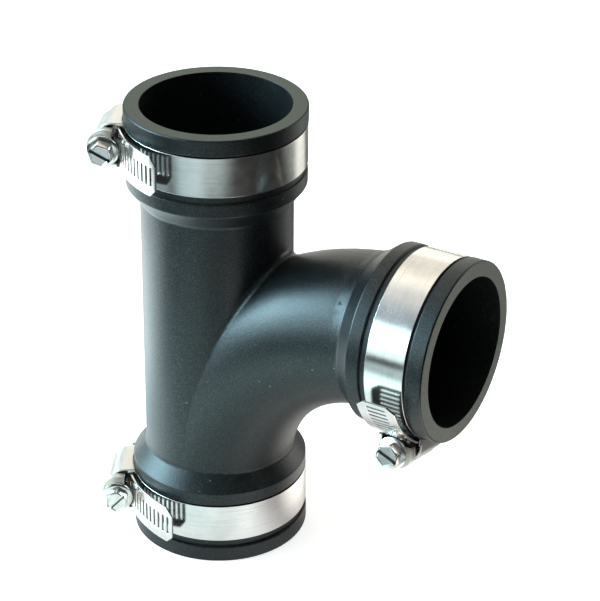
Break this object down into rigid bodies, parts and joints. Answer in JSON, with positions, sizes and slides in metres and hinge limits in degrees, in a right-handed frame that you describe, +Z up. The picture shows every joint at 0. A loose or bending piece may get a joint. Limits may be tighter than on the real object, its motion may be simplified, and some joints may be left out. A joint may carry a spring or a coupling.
{
  "type": "flexible sanitary tee",
  "caption": "Flexible rubber sanitary tee for drain pipe: an upright run with a long-sweep branch, and a worm-drive band clamp on each socket.",
  "frame": {"origin": "centre of the lower socket's mouth, in the plane the tee stands on", "axes": "+Z up the run through the upper socket, +X the way the branch socket points"},
  "size_m": [0.1284, 0.0639, 0.1535],
  "materials": {
    "rubber": "matte moulded black rubber",
    "band_steel": "polished stainless strip",
    "saddle_steel": "pressed stainless",
    "housing_steel": "pressed and tumbled stainless",
    "screw_steel": "bright steel"
  },
  "bodies": {
    "tee": {"tee_body": "rubber"},
    "upper_clamp": {"upper_clamp_band": "band_steel", "upper_clamp_saddle": "saddle_steel", "upper_clamp_housing": "housing_steel"},
    "upper_screw": {"upper_clamp_screw": "screw_steel"},
    "lower_clamp": {"lower_clamp_band": "band_steel", "lower_clamp_saddle": "saddle_steel", "lower_clamp_housing": "housing_steel"},
    "lower_screw": {"lower_clamp_screw": "screw_steel"},
    "branch_clamp": {"branch_clamp_band": "band_steel", "branch_clamp_saddle": "saddle_steel", "branch_clamp_housing": "housing_steel"},
    "branch_screw": {"branch_clamp_screw": "screw_steel"}
  },
  "joints": [
    {"name": "upper_clamp_turn", "type": "hinge", "parent": "tee", "child": "upper_clamp", "pos_m": [0, 0, 0.1409], "axis": [0, 0, 1], "continuous": true},
    {"name": "upper_screw_turn", "type": "hinge", "parent": "upper_clamp", "child": "upper_screw", "pos_m": [-0.03085, -0.01228, 0.1409], "axis": [0.3697, -0.9291, 0], "continuous": true},
    {"name": "lower_clamp_turn", "type": "hinge", "parent": "tee", "child": "lower_clamp", "pos_m": [0, 0, 0.0148], "axis": [0, 0, 1], "continuous": true},
    {"name": "lower_screw_turn", "type": "hinge", "parent": "lower_clamp", "child": "lower_screw", "pos_m": [-0.02958, -0.01507, 0.0148], "axis": [0.454, -0.891, 0], "continuous": true},
    {"name": "branch_clamp_turn", "type": "hinge", "parent": "tee", "child": "branch_clamp", "pos_m": [0.0773, 0, 0.0903], "axis": [1, 0, 0], "continuous": true},
    {"name": "branch_screw_turn", "type": "hinge", "parent": "branch_clamp", "child": "branch_screw", "pos_m": [0.0773, -0.00747, 0.05795], "axis": [0, -0.9744, 0.225], "continuous": true}
  ]
}
